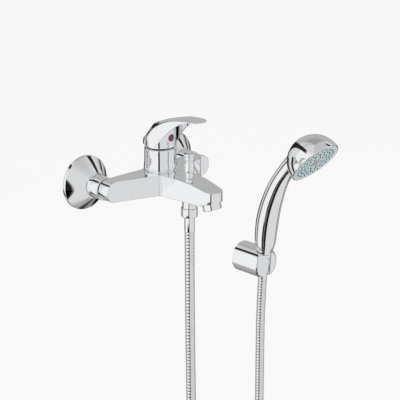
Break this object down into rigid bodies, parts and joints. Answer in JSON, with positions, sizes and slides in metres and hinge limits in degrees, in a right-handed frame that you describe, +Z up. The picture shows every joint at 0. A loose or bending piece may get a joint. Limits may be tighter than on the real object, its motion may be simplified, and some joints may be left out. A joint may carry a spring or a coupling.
{
  "type": "wall mounted bath faucet",
  "caption": "Single lever bath mixer on two wall inlets with a flat spout, pull-up diverter, metal hose, and a hand shower in a wall bracket.",
  "frame": {"origin": "on the finished wall, midway between the two inlet axes", "axes": "+X to the right along the wall, +Y into the wall, +Z up"},
  "size_m": [0.3629, 0.182, 0.7646],
  "materials": {
    "chrome": "polished chrome plate",
    "hose_metal": "corrugated chromed strip",
    "brass": "bare machined brass",
    "steel": "plain steel",
    "seal_rubber": "black rubber",
    "white_plastic": "white acetal",
    "ceramic": "lapped alumina",
    "indicator": "half red, half blue",
    "face_grey": "pale grey plastic",
    "spray_aqua": "pale aqua plastic",
    "nozzle_rubber": "dark teal silicone",
    "cap_grey": "pinkish grey plastic"
  },
  "bodies": {
    "mixer": {"eccentric_union_left": "brass", "eccentric_union_right": "brass", "union_nut_left": "chrome", "union_nut_right": "chrome", "inlet_seal_left": "seal_rubber", "inlet_seal_right": "seal_rubber", "escutcheon_left": "chrome", "escutcheon_right": "chrome", "mixer_body": "chrome", "outlet_nipple": "chrome", "check_valve": "white_plastic", "diverter_seat": "brass", "diverter_bonnet": "chrome", "aerator_housing": "chrome", "aerator_insert": "white_plastic", "aerator_seal": "seal_rubber", "cartridge_housing": "white_plastic", "cartridge_seals": "seal_rubber", "fixed_disc": "ceramic", "cartridge_nut": "brass", "cover": "chrome", "hose": "hose_metal", "hose_nut": "chrome", "hose_washer": "seal_rubber", "hose_ferrule": "chrome", "bracket_body": "chrome", "bracket_plate": "white_plastic", "bracket_grub_screw": "steel"},
    "carrier": {"cartridge_carrier": "white_plastic"},
    "disc_slide": {"moving_disc": "ceramic"},
    "lever": {"lever": "chrome", "lever_stem": "brass", "tilt_pin": "steel", "lever_screw": "steel", "indicator": "indicator"},
    "diverter": {"diverter_knob": "chrome", "diverter_stem": "brass", "diverter_spring": "steel"},
    "hose_end": {"hose_end_ferrule": "chrome"},
    "hand_shower": {"hand_shower_shell": "chrome", "handle_nipple": "brass", "conical_nut": "chrome", "nut_washer": "seal_rubber", "water_tube": "white_plastic", "face_ring": "face_grey", "spray_plate": "spray_aqua", "nozzle_mat": "nozzle_rubber", "centre_cap": "cap_grey", "spray_chamber": "white_plastic"}
  },
  "joints": [
    {"name": "temperature_turn", "type": "hinge", "parent": "mixer", "child": "carrier", "pos_m": [0, -0.06, 0.024], "axis": [0, 0, 1], "range_deg": [-50, 50]},
    {"name": "flow_tilt", "type": "hinge", "parent": "carrier", "child": "lever", "pos_m": [0, -0.06, 0.024], "axis": [-1, 0, 0], "range_deg": [0, 22]},
    {"name": "disc_slide", "type": "slide", "parent": "carrier", "child": "disc_slide", "axis": [0, -1, 0], "range_m": [0, 0.0056]},
    {"name": "diverter_pull", "type": "slide", "parent": "mixer", "child": "diverter", "axis": [0, 0, 1], "range_m": [0, 0.008], "stiffness_N_per_m": 150, "springref_m": -0.003},
    {"name": "hand_shower_lift", "type": "slide", "parent": "mixer", "child": "hose_end", "axis": [0, -0.0611, 0.9981], "range_m": [0, 0.07]},
    {"name": "hand_shower_turn", "type": "hinge", "parent": "hose_end", "child": "hand_shower", "pos_m": [0.2169, -0.041, -0.1792], "axis": [0, -0.0611, 0.9981], "range_deg": [-75, 75]}
  ],
  "couplings": [
    {"joint": "disc_slide", "follows": "flow_tilt", "m_per_rad": 0.0138}
  ]
}
